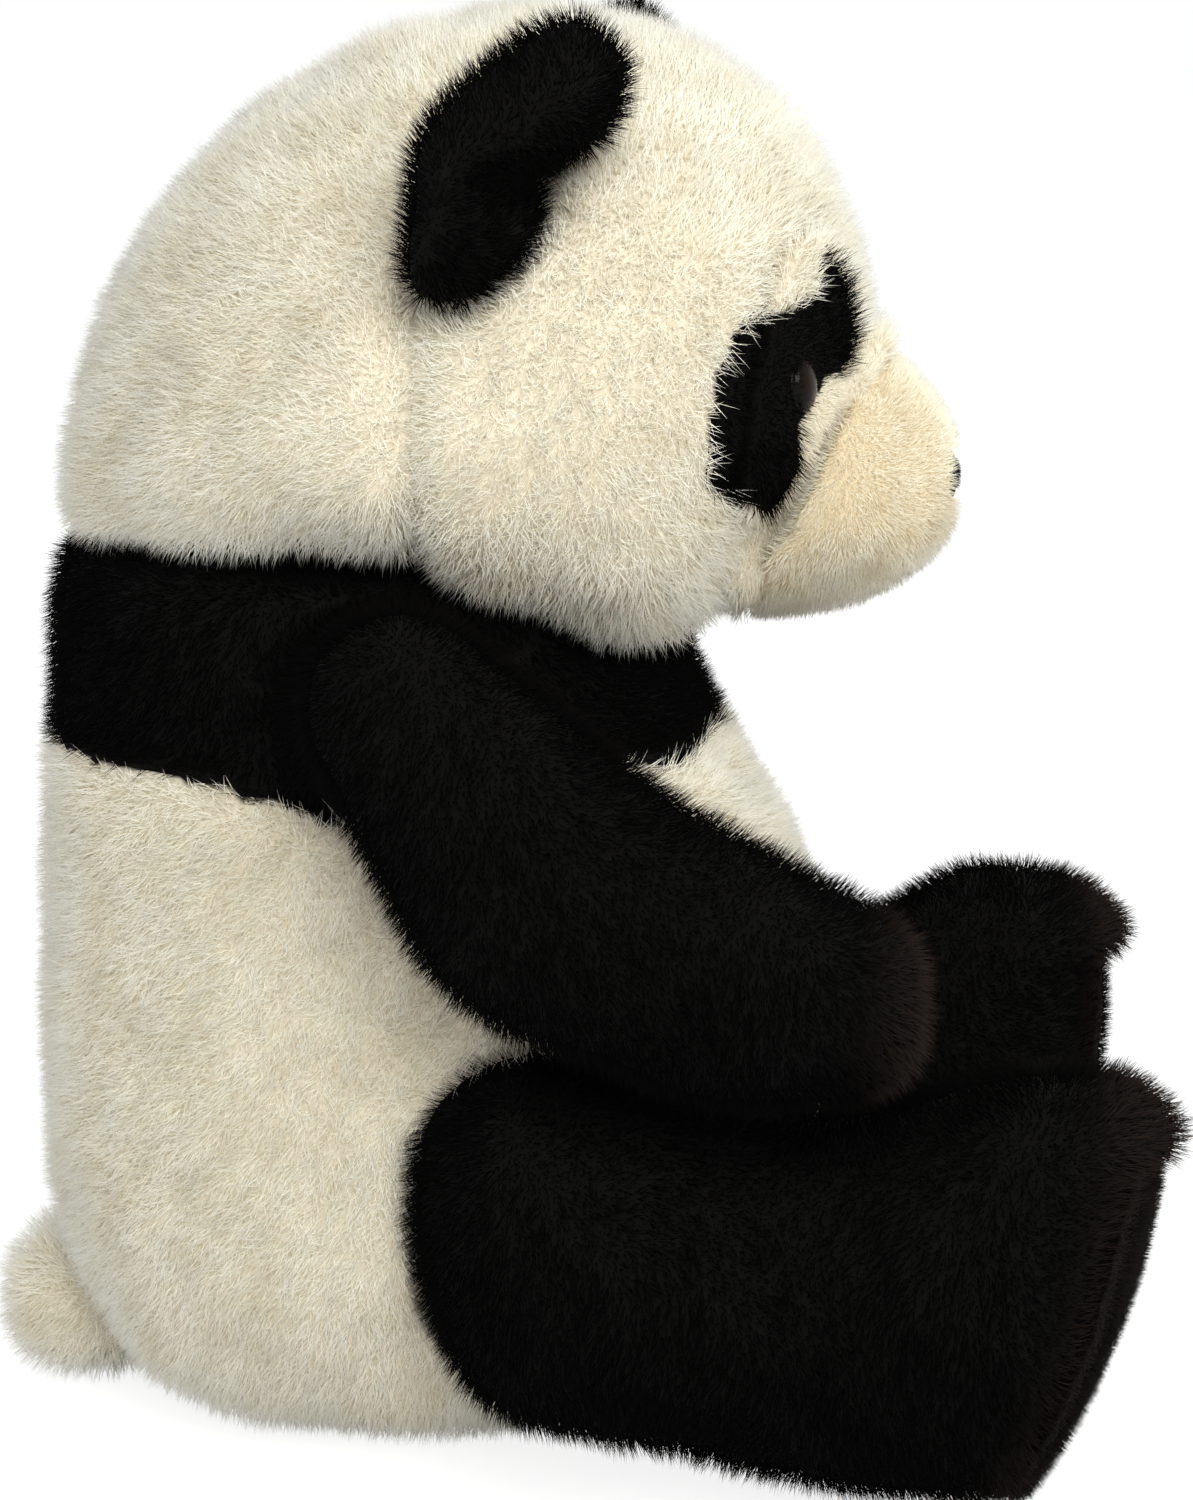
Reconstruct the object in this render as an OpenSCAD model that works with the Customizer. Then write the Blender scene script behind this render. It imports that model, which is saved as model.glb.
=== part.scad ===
/* [Body] */
// Height from the seat to where the shoulders round over
shoulder_h = 222; // [212:1:228]
// How far the shoulders round up above that, under the head
dome_h = 26; // [22:1:30]
// Width of the body at the hips
body_w = 190; // [170:1:205]
// How far the back stands behind the middle of the toy
body_back = 141; // [134:1:146]
// How far the belly stands in front of the middle of the toy
belly_out = 65; // [50:1:72]
// Height of the seam between the cream body and the black chest
band_h = 181; // [175:1:183]
// Thickness of the plush covers
cover_t = 6; // [4:0.5:8]

/* [Head] */
// Width of the head
head_w = 222; // [208:1:228]
// Depth of the head from the forehead to the back
head_d = 203; // [190:1:212]
// Height of the head's widest level above the top of the shoulders
head_rise = 42; // [38:1:46]
// Height of the crown above the widest level
crown_h = 102; // [94:1:106]
// Depth of the cheeks below the widest level
cheek_h = 62; // [54:1:64]
// How far the widest level stands behind the middle of the toy
head_y = 28; // [24:1:32]
// How far the crown leans forward
head_lean = 18; // [8:1:26]
// How far the lower head sets back
head_set = 17; // [12:1:22]

/* [Muzzle] */
// Width of the muzzle
muzzle_w = 98; // [84:1:110]
// Height of the muzzle
muzzle_h = 74; // [66:1:78]
// How far the muzzle stands in front of the middle of the toy
muzzle_out = 97; // [92:1:104]
// Drop of the muzzle's middle below the head's widest level
muzzle_drop = 14; // [10:1:18]
// Width of the nose
nose_w = 27; // [20:1:34]
// Height of the nose
nose_h = 18; // [14:1:24]

/* [Eyes] */
// Diameter of the safety eyes
eye_d = 16; // [12:0.5:18]
// Height of the eye's dome
eye_h = 4.5; // [3.5:0.5:6]
// Diameter of the eye's shank
shank_d = 5; // [4:0.5:6]
// Diameter of the locking washer
washer_d = 15; // [12:0.5:18]
// Half the distance between the eyes
eye_x = 58; // [52:1:60]
// Height of the eyes above the head's widest level
eye_rise = 13; // [9:1:17]
// Length of the eye patches
patch_l = 70; // [60:1:74]
// Width of the eye patches
patch_w = 45; // [40:1:48]

/* [Ears] */
// Width of an ear along its base
ear_w = 73; // [66:1:78]
// Height of an ear above its base
ear_h = 47; // [40:1:54]
// Thickness of an ear
ear_t = 25; // [22:1:28]

/* [Arms] */
// Width of an arm, seen from the side
arm_w = 62; // [56:1:66]
// Width of a paw, seen from the side
paw_w = 60; // [54:1:64]
// Thickness of an arm, seen from the front
arm_t = 54; // [46:1:56]
// How far the paw reaches in front of the shoulder
arm_reach = 131; // [118:1:134]
// How far the paw's tip lies below the shoulder
arm_drop = 63; // [58:1:66]
// Diameter of the round shoulder that turns in the armhole
arm_root_d = 54; // [48:1:55]
// How much lower the left arm hangs than the right one, in degrees
arm_hang = 78; // [74:1:84]

/* [Legs] */
// Diameter of the rounded hip
hip_d = 102; // [94:1:104]
// Height of the middle of the hip above the seat
hip_z = 66; // [62:1:68]
// Reach of the leg from the hip to the toes
leg_reach = 138; // [130:1:142]
// Height of the foot
foot_h = 116; // [110:1:119]
// Width of the foot
foot_w = 83; // [78:1:86]
// Angle between the leg and straight ahead
leg_splay = 10; // [8:1:13]
// Thickness of the sole
sole_t = 4; // [3:0.5:5]

/* [Tail] */
// Width of the tail
tail_w = 58; // [46:1:64]
// Height of the tail
tail_h = 37; // [32:1:40]
// How far the tail reaches behind its root
tail_out = 23; // [20:1:26]

/* [Fits] */
// Clearance between pieces that move on each other
fit = 0.4; // [0.3:0.1:0.6]
// Clearance between a cover and its stuffing
stuff_gap = 0.2; // [0.1:0.1:0.4]

/* [Hidden] */

cream = "#EAE3D2";
black = "#191615";
beige = "#E2D3B2";
sole_brown = "#2A2320";
stuffing = "#F5F3EE";
glossy = "#0B0908";
washer_white = "#D8D8D4";

$fn = 64;
left = 1;
right = -1;
// Longer than the toy, for cutting blocks
far = 500;

// Sides of the sections of each form
body_sides = 28;
head_sides = 32;
limb_sides = 18;
small_sides = 16;
inner_sides = 14;

// Outline of the body: height share, back share, belly share, width share
torso = [
    [0, 0.64, 0.28, 0.46],
    [0.04, 0.82, 0.5, 0.72],
    [0.11, 0.92, 0.68, 0.87],
    [0.22, 0.98, 0.85, 0.97],
    [0.36, 1, 0.96, 1],
    [0.5, 1, 1, 1],
    [0.64, 0.992, 0.92, 0.985],
    [0.76, 0.982, 0.68, 0.965],
    [0.88, 0.972, 0.45, 0.945],
    [1, 0.965, 0.33, 0.92]];
seat_row = torso[0];
neck_row = torso[len(torso) - 1];
body_square = 2.3;

// Heights of the head's widest level, the muzzle and the eyes above the seat
head_z = shoulder_h + head_rise;
muzzle_z = head_z - muzzle_drop;
eye_z = head_z + eye_rise;

// Middle and radius of the neck, from the top of the outline
neck_back = body_back * neck_row[1];
neck_front = belly_out * neck_row[2];
neck_side = body_w / 2 * neck_row[3];
neck_y = (neck_back - neck_front) / 2;
neck_r = max((neck_back + neck_front) / 2, neck_side);
core_r = neck_r * 0.32;
core_top = head_z + 8;

// Shoulder and arm, left side
arm_root_r = arm_root_d / 2;
shoulder_y = neck_y - 18;
shoulder_z = band_h + 20;
arm_in = body_w / 2 + 1.5;
arm_x = arm_in + arm_t / 2;
arm_start = [shoulder_y + 0.12 * arm_w, shoulder_z + 0.43 * arm_w];
arm_bend = [shoulder_y - 0.36 * arm_reach, shoulder_z - 1.06 * arm_drop];
arm_tip = [shoulder_y - arm_reach, shoulder_z - arm_drop];

// Hip and leg, left side
hip_r = hip_d / 2;
hip_x = body_w / 2 - 15;
hip_y = -16;
// Middle of each leg section: reach share, height share, then its half height share, width share, lean
leg = [
    [-0.11, 0.555, 0.41, 1.02, 0],
    [0.04, 0.56, 0.445, 1.15, 0],
    [0.16, 0.54, 0.435, 1.1, 0],
    [0.33, 0.47, 0.405, 0.98, 2],
    [0.48, 0.48, 0.435, 0.98, 5],
    [0.608, 0.515, 0.48, 1, 10],
    [0.707, 0.525, 0.495, 1, 15],
    [0.806, 0.5, 0.48, 0.97, 18.5],
    [0.871, 0.465, 0.437, 0.88, 21]];
leg_square = 2.2;
// Turns of the leg and the ear that their cuts leave room for
leg_turns = [-8, 0, 8, 16];
ear_turns = [-17, 0, 17];

// Tail root
tail_y = body_back * 0.935;
tail_z = tail_h / 2 + 2;
// Room round the tail, which swells as it lifts
tail_room = 1.8 * fit;

// Frame of the left ear: the middle of its base on the head, and the tilt of its base line
ear_up = 30.5;
ear_base = [head_w / 2 * cos(ear_up) - 3, head_y - 15, head_z + crown_h * sin(ear_up) - 1];
ear_skew = -13;
ear_root_r = 8.5;
ear_root_l = 46;

// How square the head's levels are, 2 is an ellipse
head_square = 2.1;
// Where the seam between the face and the back of the head runs over the head
side_seam_y = head_y + 4;

// Eye and patch, left side
eye_az = 31;
eye_el = 8;
eye_lift = 0.7;
patch_turn = 25;
patch_shift = [-4, 2];

function spow(v, p) = sign(v) * pow(abs(v), p);

// One closed section about c with half axes a and b
function oval(c, a, b, square, n) = [
    for (i = [0 : n - 1])
        c + spow(cos(360 * i / n), 2 / square) * a + spow(sin(360 * i / n), 2 / square) * b];

// Share of full size along a form that closes at both ends
function swell(s, square) = pow(1 - pow(abs(2 * s - 1), square), 1 / square);

// Share along a form, closer together towards both ends
function bunched(i, n) = (1 - cos(180 * i / n)) / 2;

// Smooth reading of column col of a table at share t
function row_below(table, t, i = 0) =
    i >= len(table) - 2 || t < table[i + 1][0] ? i : row_below(table, t, i + 1);
function slope(table, i, col) =
    let (a = max(i - 1, 0), b = min(i + 1, len(table) - 1))
    (table[b][col] - table[a][col]) / (table[b][0] - table[a][0]);
function smooth(table, t, col) =
    let (i = row_below(table, t), h = table[i + 1][0] - table[i][0], u = (t - table[i][0]) / h)
    table[i][col] * (1 + 2 * u) * (1 - u) * (1 - u)
    + slope(table, i, col) * h * u * (1 - u) * (1 - u)
    + table[i + 1][col] * u * u * (3 - 2 * u)
    + slope(table, i + 1, col) * h * u * u * (u - 1);

// Closed form over a row of sections, with a point at each end
module loft(rings, first, last) {
    n = len(rings[0]);
    m = len(rings);
    end = m * n + 1;
    polyhedron(
        points = concat([first], [for (ring = rings) each ring], [last]),
        faces = concat(
            [for (i = [0 : n - 1]) [0, 1 + i, 1 + (i + 1) % n]],
            [for (j = [0 : m - 2], i = [0 : n - 1])
                let (a = 1 + j * n + i, b = 1 + j * n + (i + 1) % n)
                each [[a, b + n, b], [a, a + n, b + n]]],
            [for (i = [0 : n - 1]) [end, end - n + (i + 1) % n, end - n + i]]),
        convexity = 6);
}

// The left piece as drawn, or its mirror image on the right
module sided(side) {
    if (side == left) children();
    else mirror([1, 0, 0]) children();
}

// Keeps one triangle mesh of the shapes inside
module meshed() resize([0, 0, 0]) children();

module above(z) translate([-far, -far, z]) cube([2 * far, 2 * far, far]);
module below(z) translate([-far, -far, z - far]) cube([2 * far, 2 * far, far]);

// Body, inset from its outer surface
module body_form(inset, n) {
    shares = [0, 0.02, 0.055, 0.11, 0.2, 0.3, 0.42, 0.55, 0.67, 0.78, 0.9, 1];
    dome = [18, 34, 50, 64, 77];
    half_deep = (neck_back + neck_front) / 2 - inset;
    half_wide = neck_side - inset;
    rings = concat(
        [for (s = shares)
            let (back = body_back * smooth(torso, s, 1), belly = belly_out * smooth(torso, s, 2))
            oval([0, (back - belly) / 2, inset + s * (shoulder_h - inset)],
                [body_w / 2 * smooth(torso, s, 3) - inset, 0, 0],
                [0, (back + belly) / 2 - inset, 0], body_square, n)],
        [for (a = dome)
            oval([0, neck_y, shoulder_h + (dome_h - inset) * sin(a)],
                [half_wide * cos(a), 0, 0], [0, half_deep * cos(a), 0], body_square, n)]);
    seat = [0, (seat_row[1] * body_back - seat_row[2] * belly_out) / 2, inset];
    loft(rings, seat, [0, neck_y, shoulder_h + dome_h - inset]);
}

// Room that the shoulders turn in under the head
module neck_room(gap) {
    steps = 10;
    skirt = 25;
    translate([0, neck_y, 0])
        rotate_extrude()
            polygon(concat(
                [[0, shoulder_h - skirt], [neck_r + 7 + gap, shoulder_h - skirt]],
                [for (i = [0 : steps - 1])
                    [(neck_r + 2) * cos(90 * i / steps) + gap,
                        shoulder_h + dome_h * sin(90 * i / steps) + gap]],
                [[0, shoulder_h + dome_h + gap]]));
}

// Pockets that the limbs and the tail turn in
module limb_pockets() {
    for (side = [left, right]) {
        translate([side * hip_x, hip_y, hip_z]) sphere(hip_r + fit);
        translate([side * arm_in, shoulder_y, shoulder_z]) sphere(arm_root_r + fit);
    }
    translate([-tail_w / 2 - tail_room, tail_y, tail_z])
        rotate([0, 90, 0])
            cylinder(r = tail_h / 2 + tail_room, h = tail_w + 2 * tail_room);
}

module core_bore(gap) translate([0, neck_y, band_h]) cylinder(r = core_r + gap, h = far);

module body_shell() {
    difference() {
        body_form(0, body_sides);
        body_form(cover_t, inner_sides);
    }
}

module lower_body_cover() {
    color(cream)
        difference() {
            body_shell();
            above(band_h);
            limb_pockets();
        }
}

module chest_band_cover() {
    color(black)
        difference() {
            body_shell();
            below(band_h);
            limb_pockets();
            core_bore(stuff_gap);
        }
}

module body_filling() {
    color(stuffing)
        difference() {
            body_form(cover_t + stuff_gap, inner_sides);
            limb_pockets();
            translate([0, 0, stuff_gap]) core_bore(stuff_gap);
        }
}

module neck_core() {
    color(stuffing)
        translate([0, neck_y, band_h + 2 * stuff_gap])
            cylinder(r = core_r, h = core_top - band_h - 2 * stuff_gap);
}

// Head, inset from its outer surface
module head_form(inset, n) {
    low = [-78, -64, -50, -36, -22, -10];
    high = [2, 14, 26, 38, 50, 61, 71, 80];
    round_low = 4.2;
    cheek_taper = 1.45;
    function ring(a) =
        let (up = a > 0,
            share = up ? cos(a) : pow(cos(a), 2 / round_low),
            wide = up ? cos(a) : pow(cos(a), cheek_taper),
            height = up ? crown_h - inset : cheek_h - inset,
            lean = up ? -head_lean : -head_set)
        oval([0, head_y + lean * sin(a), head_z + height * sin(a)],
            [(head_w / 2 - inset) * wide, 0, 0],
            [0, (head_d / 2 - inset) * share, 0], head_square, n);
    loft([for (a = concat(low, high)) ring(a)],
        [0, head_y + head_set, head_z - cheek_h + inset],
        [0, head_y - head_lean, head_z + crown_h - inset]);
}

module head_shell() {
    difference() {
        head_form(0, head_sides);
        head_form(cover_t, inner_sides);
        neck_room(fit);
    }
}

// Place on the left eye, looking straight out of the face
module at_eye() {
    rise = (eye_z - head_z) / crown_h;
    level = sqrt(1 - rise * rise);
    side_share = eye_x / (head_w / 2 * level);
    deep = head_d / 2 * level * pow(1 - pow(side_share, head_square), 1 / head_square);
    translate([eye_x, head_y - head_lean * rise - deep, eye_z])
        rotate([90 - eye_el, 0, eye_az])
            children();
}

// Block through the face in the shape of the left eye patch
module patch_block(gap) {
    at_eye()
        translate(patch_shift)
            rotate(patch_turn)
                translate([0, 0, -35])
                    linear_extrude(60)
                        polygon(oval([0, 0], [patch_w / 2 + gap, 0], [0, patch_l / 2 + gap], 2.2, 28));
}

module ear_groove() {
    at_ear()
        rotate([0, 90, 0])
            cylinder(r = ear_root_r + fit, h = ear_root_l + 2 * fit, center = true);
}

module back_half() translate([-far, side_seam_y, -far]) cube(2 * far);

module head_back_cover() {
    color(cream)
        difference() {
            intersection() {
                head_shell();
                back_half();
            }
            for (side = [left, right]) sided(side) ear_groove();
        }
}

module face_cover() {
    color(cream)
        difference() {
            head_shell();
            back_half();
            for (side = [left, right]) sided(side) {
                patch_block(0);
                ear_groove();
            }
        }
}

module head_filling() {
    color(stuffing)
        difference() {
            head_form(cover_t + stuff_gap, inner_sides);
            neck_room(fit);
            core_bore(fit);
            for (side = [left, right]) sided(side) {
                eye_hole();
                ear_groove();
            }
        }
}

module eye_patch(side) {
    color(black)
        sided(side)
            difference() {
                intersection() {
                    head_shell();
                    patch_block(-stuff_gap);
                }
                at_eye() cylinder(d = shank_d + 2 * stuff_gap, h = far, center = true);
            }
}

// Room for the left eye's shank and washer in the stuffing
module eye_hole() {
    at_eye()
        translate([0, 0, -cover_t - 16])
            cylinder(d = washer_d + 1, h = far);
}

module eye(side) {
    color(glossy)
        sided(side)
            at_eye()
                rotate_extrude()
                    polygon(concat(
                        [[0, -cover_t - 8], [shank_d / 2, -cover_t - 8]],
                        [[shank_d / 2, eye_lift], [eye_d / 2, eye_lift]],
                        [for (i = [0 : 8])
                            [eye_d / 2 * cos(90 * i / 9), eye_lift + 1 + (eye_h - 1) * sin(90 * i / 9)]],
                        [[0, eye_lift + eye_h]]));
}

module eye_washer(side) {
    color(washer_white)
        sided(side)
            at_eye()
                translate([0, 0, -cover_t - 7])
                    difference() {
                        cylinder(d = washer_d, h = 1.6);
                        translate([0, 0, -1]) cylinder(d = shank_d, h = 4);
                    }
}

// Muzzle, inset from its outer surface and reaching back into the face
module muzzle_form(inset, n) {
    root_y = -40;
    reach = muzzle_out + root_y;
    angles = [0, 16, 32, 46, 60, 74];
    loft([for (a = angles)
            oval([0, root_y - (reach - inset) * sin(a), muzzle_z - 3 * sin(a)],
                [(muzzle_w / 2 - inset) * pow(cos(a), 0.8), 0, 0],
                [0, 0, (muzzle_h / 2 - inset) * pow(cos(a), 0.8)], 2.2, n)],
        [0, root_y, muzzle_z], [0, -muzzle_out + inset, muzzle_z - 3]);
}

module muzzle_cover() {
    color(beige)
        meshed()
            difference() {
                muzzle_form(0, head_sides);
                muzzle_form(cover_t, inner_sides);
                head_form(-stuff_gap, head_sides);
                neck_room(fit);
            }
}

module muzzle_filling() {
    color(stuffing)
        meshed()
            difference() {
                muzzle_form(cover_t + stuff_gap, inner_sides);
                head_form(-2 * stuff_gap, head_sides);
            }
}

module nose() {
    nose_z = muzzle_z - 3;
    nose_deep = 5.5;
    color(black)
        meshed()
            difference() {
                translate([0, -muzzle_out + 3.2, nose_z])
                    scale([nose_w / 2, nose_deep, nose_h / 2])
                        sphere(1, $fn = 24);
                muzzle_form(-stuff_gap, head_sides);
            }
}

// Place on the left ear's base: x along the base, z up the ear, -y out of its front
module at_ear() {
    translate(ear_base)
        multmatrix([
            [0.43, -0.476, 0.767, 0],
            [0.60, 0.783, 0.15, 0],
            [-0.675, 0.396, 0.622, 0],
            [0, 0, 0, 1]])
            children();
}

module ear_pad() {
    steps = 9;
    from_z = -4;
    loft([for (i = [1 : steps - 1])
            let (s = bunched(i, steps), z = from_z + (ear_h - from_z) * s)
            oval([ear_skew * s, -5 * s * s, z], [ear_w / 2 * swell(0.14 + 0.86 * s, 2.3), 0, 0],
                [0, ear_t / 2 * swell(0.2 + 0.8 * s, 3), 0], 2, small_sides)],
        [0, 0, from_z], [ear_skew, -5, ear_h]);
}

module ear(side, front) {
    color(black)
        sided(side)
            meshed()
                intersection() {
                    union() {
                        difference() {
                            at_ear() ear_pad();
                            for (turn = ear_turns)
                                at_ear()
                                    rotate([turn, 0, 0])
                                        from_ear() head_form(-fit, head_sides);
                        }
                        at_ear()
                            rotate([0, 90, 0])
                                cylinder(r = ear_root_r, h = ear_root_l, center = true, $fn = 32);
                    }
                    at_ear()
                        translate([-far, front ? -far : stuff_gap / 2, -far])
                            cube([2 * far, far - (front ? stuff_gap / 2 : 0), 2 * far]);
                }
}

// Undoes at_ear
module from_ear() {
    multmatrix([
        [0.43, 0.60, -0.675, 0],
        [-0.476, 0.783, 0.396, 0],
        [0.767, 0.15, 0.622, 0],
        [0, 0, 0, 1]])
        translate(-ear_base)
            children();
}

// Point and direction along the arm, from the back of the shoulder to the paw's tip
function arm_point(s) =
    (1 - s) * (1 - s) * arm_start + 2 * s * (1 - s) * arm_bend + s * s * arm_tip;
function arm_dir(s) =
    let (d = 2 * (1 - s) * (arm_bend - arm_start) + 2 * s * (arm_tip - arm_bend))
    d / norm(d);

module arm_form(inset, n) {
    steps = 14;
    loft([for (i = [1 : steps - 1])
            let (s = bunched(i, steps), p = arm_point(s), d = arm_dir(s), round = swell(s, 3),
                wide = (arm_w + (paw_w - arm_w) * s) / 2 * 1.06 * round,
                thick = arm_t / 2 * round)
            oval([arm_x, p[0], p[1]], [max(thick - inset, 1), 0, 0],
                max(wide - inset, 1) * [0, d[1], -d[0]], 2.2, n)],
        [arm_x, arm_point(inset / 190)[0], arm_point(inset / 190)[1]],
        [arm_x, arm_point(1 - inset / 190)[0], arm_point(1 - inset / 190)[1]]);
}

// Round shoulder that turns in the armhole
module shoulder_ball() {
    steps = 10;
    at = [arm_in, shoulder_y, shoulder_z];
    loft([for (i = [1 : steps - 1])
            let (a = 180 * i / steps, r = arm_root_r * sin(a))
            oval(at - [arm_root_r * cos(a), 0, 0], [0, r, 0], [0, 0, r], 2, limb_sides)],
        at - [arm_root_r, 0, 0], at + [arm_root_r, 0, 0]);
}

// Opening that the left arm is stuffed through, in the side of its shoulder
module arm_opening(r, from) {
    translate([arm_in - from, shoulder_y, shoulder_z])
        rotate([0, 90, 0])
            cylinder(r = r, h = arm_x - arm_in + from);
}

// The left arm hangs at the side, the right one lies on the leg
module posed(side) {
    sided(side)
        translate([0, shoulder_y, shoulder_z])
            rotate([side == left ? arm_hang : 0, 0, 0])
                translate([0, -shoulder_y, -shoulder_z])
                    children();
}

module arm_cover(side) {
    color(black)
        posed(side)
            difference() {
                union() {
                    arm_form(0, limb_sides);
                    shoulder_ball();
                }
                arm_form(cover_t, inner_sides);
                arm_opening(arm_root_r / 2, arm_root_r + 1);
            }
}

module arm_filling(side) {
    color(stuffing)
        posed(side)
            union() {
                arm_form(cover_t + stuff_gap, inner_sides);
                arm_opening(arm_root_r / 2 - stuff_gap, arm_root_r * 0.8);
            }
}

// Left hip, facing along the leg
module at_hip() {
    translate([hip_x, hip_y, 0])
        rotate(leg_splay)
            children();
}

function leg_section(s, inset, n) =
    let (lean = smooth(leg, s, 4), high = foot_h * smooth(leg, s, 2) - inset)
    oval([0, -leg_reach * s, foot_h * smooth(leg, s, 1)],
        [foot_w / 2 * smooth(leg, s, 3) - inset, 0, 0],
        high * [0, -sin(lean), cos(lean)], leg_square, n);

function middle(ring) = [for (k = [0 : 2]) let (v = [for (p = ring) p[k]]) (min(v) + max(v)) / 2];

module leg_form(inset, n) {
    root = leg[0][0];
    sole = leg[len(leg) - 1][0];
    last = sole - inset / leg_reach;
    steps = 11;
    rings = [for (i = [0 : steps]) leg_section(root + (last - root) * i / steps, inset, n)];
    at_hip() loft(rings, middle(rings[0]), middle(rings[steps]));
}

module leg_cover(side) {
    color(black)
        sided(side)
            difference() {
                union() {
                    translate([hip_x, hip_y, hip_z]) sphere(hip_r);
                    meshed()
                        difference() {
                            leg_form(0, limb_sides);
                            for (turn = leg_turns)
                                translate([hip_x, hip_y, 0])
                                    rotate(-turn)
                                        translate([-hip_x, -hip_y, 0])
                                            body_form(-fit, body_sides);
                        }
                }
                leg_form(cover_t, inner_sides);
            }
}

module leg_filling(side) {
    color(stuffing) sided(side) leg_form(cover_t + stuff_gap, inner_sides);
}

module foot_sole(side) {
    share = leg[len(leg) - 1][0];
    lean = leg[len(leg) - 1][4];
    out = [0, -cos(lean), -sin(lean)];
    outline = leg_section(share, 0, limb_sides);
    heart = middle(outline);
    function pad(grow, lift) = [for (p = outline) heart + grow * (p - heart) + lift * out];
    color(sole_brown)
        sided(side)
            at_hip()
                loft([pad(0.97, 0.1), pad(0.97, sole_t * 0.5), pad(0.8, sole_t * 0.85)],
                    heart + 0.1 * out, heart + sole_t * out);
}

module tail_form(inset, n) {
    steps = 10;
    loft([for (i = [1 : steps - 1])
            let (s = bunched(i, steps), r = max((tail_h / 2) * swell(s, 2.3) - inset, 1),
                reach = max(tail_out * swell(s, 2.3) - inset, 1))
            [for (k = [0 : n - 1])
                let (a = 360 * k / n)
                [tail_w * (s - 0.5), tail_y + (cos(a) > 0 ? reach : r) * cos(a), tail_z + r * sin(a)]]],
        [-tail_w / 2 + inset, tail_y, tail_z], [tail_w / 2 - inset, tail_y, tail_z]);
}

module tail_cover() {
    color(cream)
        difference() {
            tail_form(0, limb_sides);
            tail_form(cover_t, inner_sides);
        }
}

module tail_filling() {
    color(stuffing) tail_form(cover_t + stuff_gap, inner_sides);
}

lower_body_cover();
chest_band_cover();
body_filling();
neck_core();
head_back_cover();
face_cover();
head_filling();
muzzle_cover();
muzzle_filling();
nose();
eye_patch(left);  // eye_patch_left
eye_patch(right);  // eye_patch_right
eye(left);  // eye_left
eye(right);  // eye_right
eye_washer(left);  // eye_washer_left
eye_washer(right);  // eye_washer_right
ear(left, true);  // ear_front_left
ear(right, true);  // ear_front_right
ear(left, false);  // ear_back_left
ear(right, false);  // ear_back_right
arm_cover(left);  // arm_cover_left
arm_cover(right);  // arm_cover_right
arm_filling(left);  // arm_filling_left
arm_filling(right);  // arm_filling_right
leg_cover(left);  // leg_cover_left
leg_cover(right);  // leg_cover_right
leg_filling(left);  // leg_filling_left
leg_filling(right);  // leg_filling_right
foot_sole(left);  // foot_sole_left
foot_sole(right);  // foot_sole_right
tail_cover();
tail_filling();
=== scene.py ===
import math

import bmesh
import bpy
import numpy as np
from mathutils import Matrix, Vector
from mathutils.bvhtree import BVHTree


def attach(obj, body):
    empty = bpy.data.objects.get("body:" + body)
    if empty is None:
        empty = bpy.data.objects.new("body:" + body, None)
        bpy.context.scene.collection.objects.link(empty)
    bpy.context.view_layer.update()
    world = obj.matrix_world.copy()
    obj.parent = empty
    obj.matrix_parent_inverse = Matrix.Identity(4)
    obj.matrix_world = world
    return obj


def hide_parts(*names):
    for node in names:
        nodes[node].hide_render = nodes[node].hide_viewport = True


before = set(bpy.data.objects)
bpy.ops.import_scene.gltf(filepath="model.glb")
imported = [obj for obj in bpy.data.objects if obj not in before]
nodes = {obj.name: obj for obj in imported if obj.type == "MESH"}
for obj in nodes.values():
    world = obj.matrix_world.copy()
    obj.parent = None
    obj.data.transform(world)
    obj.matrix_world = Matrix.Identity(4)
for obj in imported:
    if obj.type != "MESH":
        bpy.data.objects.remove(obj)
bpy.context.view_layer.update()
scene = bpy.context.scene
mm = 0.001


# Camera: on the toy's right side, a little towards its face, looking slightly down

def place_camera():
    look_at = Vector((0, -4.5, 172.8)) * mm
    distance = 1050 * mm
    tilt, turn = math.radians(11.5), math.radians(4)
    level = math.cos(tilt)
    ahead = Vector((level * math.cos(turn), level * math.sin(turn), -math.sin(tilt)))
    data = bpy.data.cameras.new("camera")
    data.sensor_width = 36
    data.lens = 95.09
    camera = bpy.data.objects.new("camera", data)
    camera.location = look_at - ahead * distance
    camera.rotation_euler = ahead.to_track_quat("-Z", "Y").to_euler()
    scene.collection.objects.link(camera)
    scene.camera = camera


# Finishes

# Brown mixed into the tips of black pile as a painted rim highlight at the paws' tips and round the
# soles
PAINTED_RIM_BROWN = (0.042, 0.031, 0.025)
DYED_BLACK = (0.003, 0.0028, 0.0026)
# Powers of a strand's tone that make the darker strands warmer than the lighter ones
WARMTH = {"Red": 0.75, "Green": 1, "Blue": 1.5}


def finish_tree(name):
    finish = bpy.data.materials.new(name)
    finish.use_nodes = True
    tree = finish.node_tree
    return finish, tree, tree.nodes["Principled BSDF"]


def reading(tree, name):
    n = tree.nodes.new("ShaderNodeAttribute")
    n.attribute_name = name
    return n


def ramp(tree, stops):
    n = tree.nodes.new("ShaderNodeValToRGB")
    while len(n.color_ramp.elements) < len(stops):
        n.color_ramp.elements.new(0.5)
    for e, (at, colour) in zip(n.color_ramp.elements, stops):
        e.position = at
        e.color = (*colour, 1)
    return n


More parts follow.
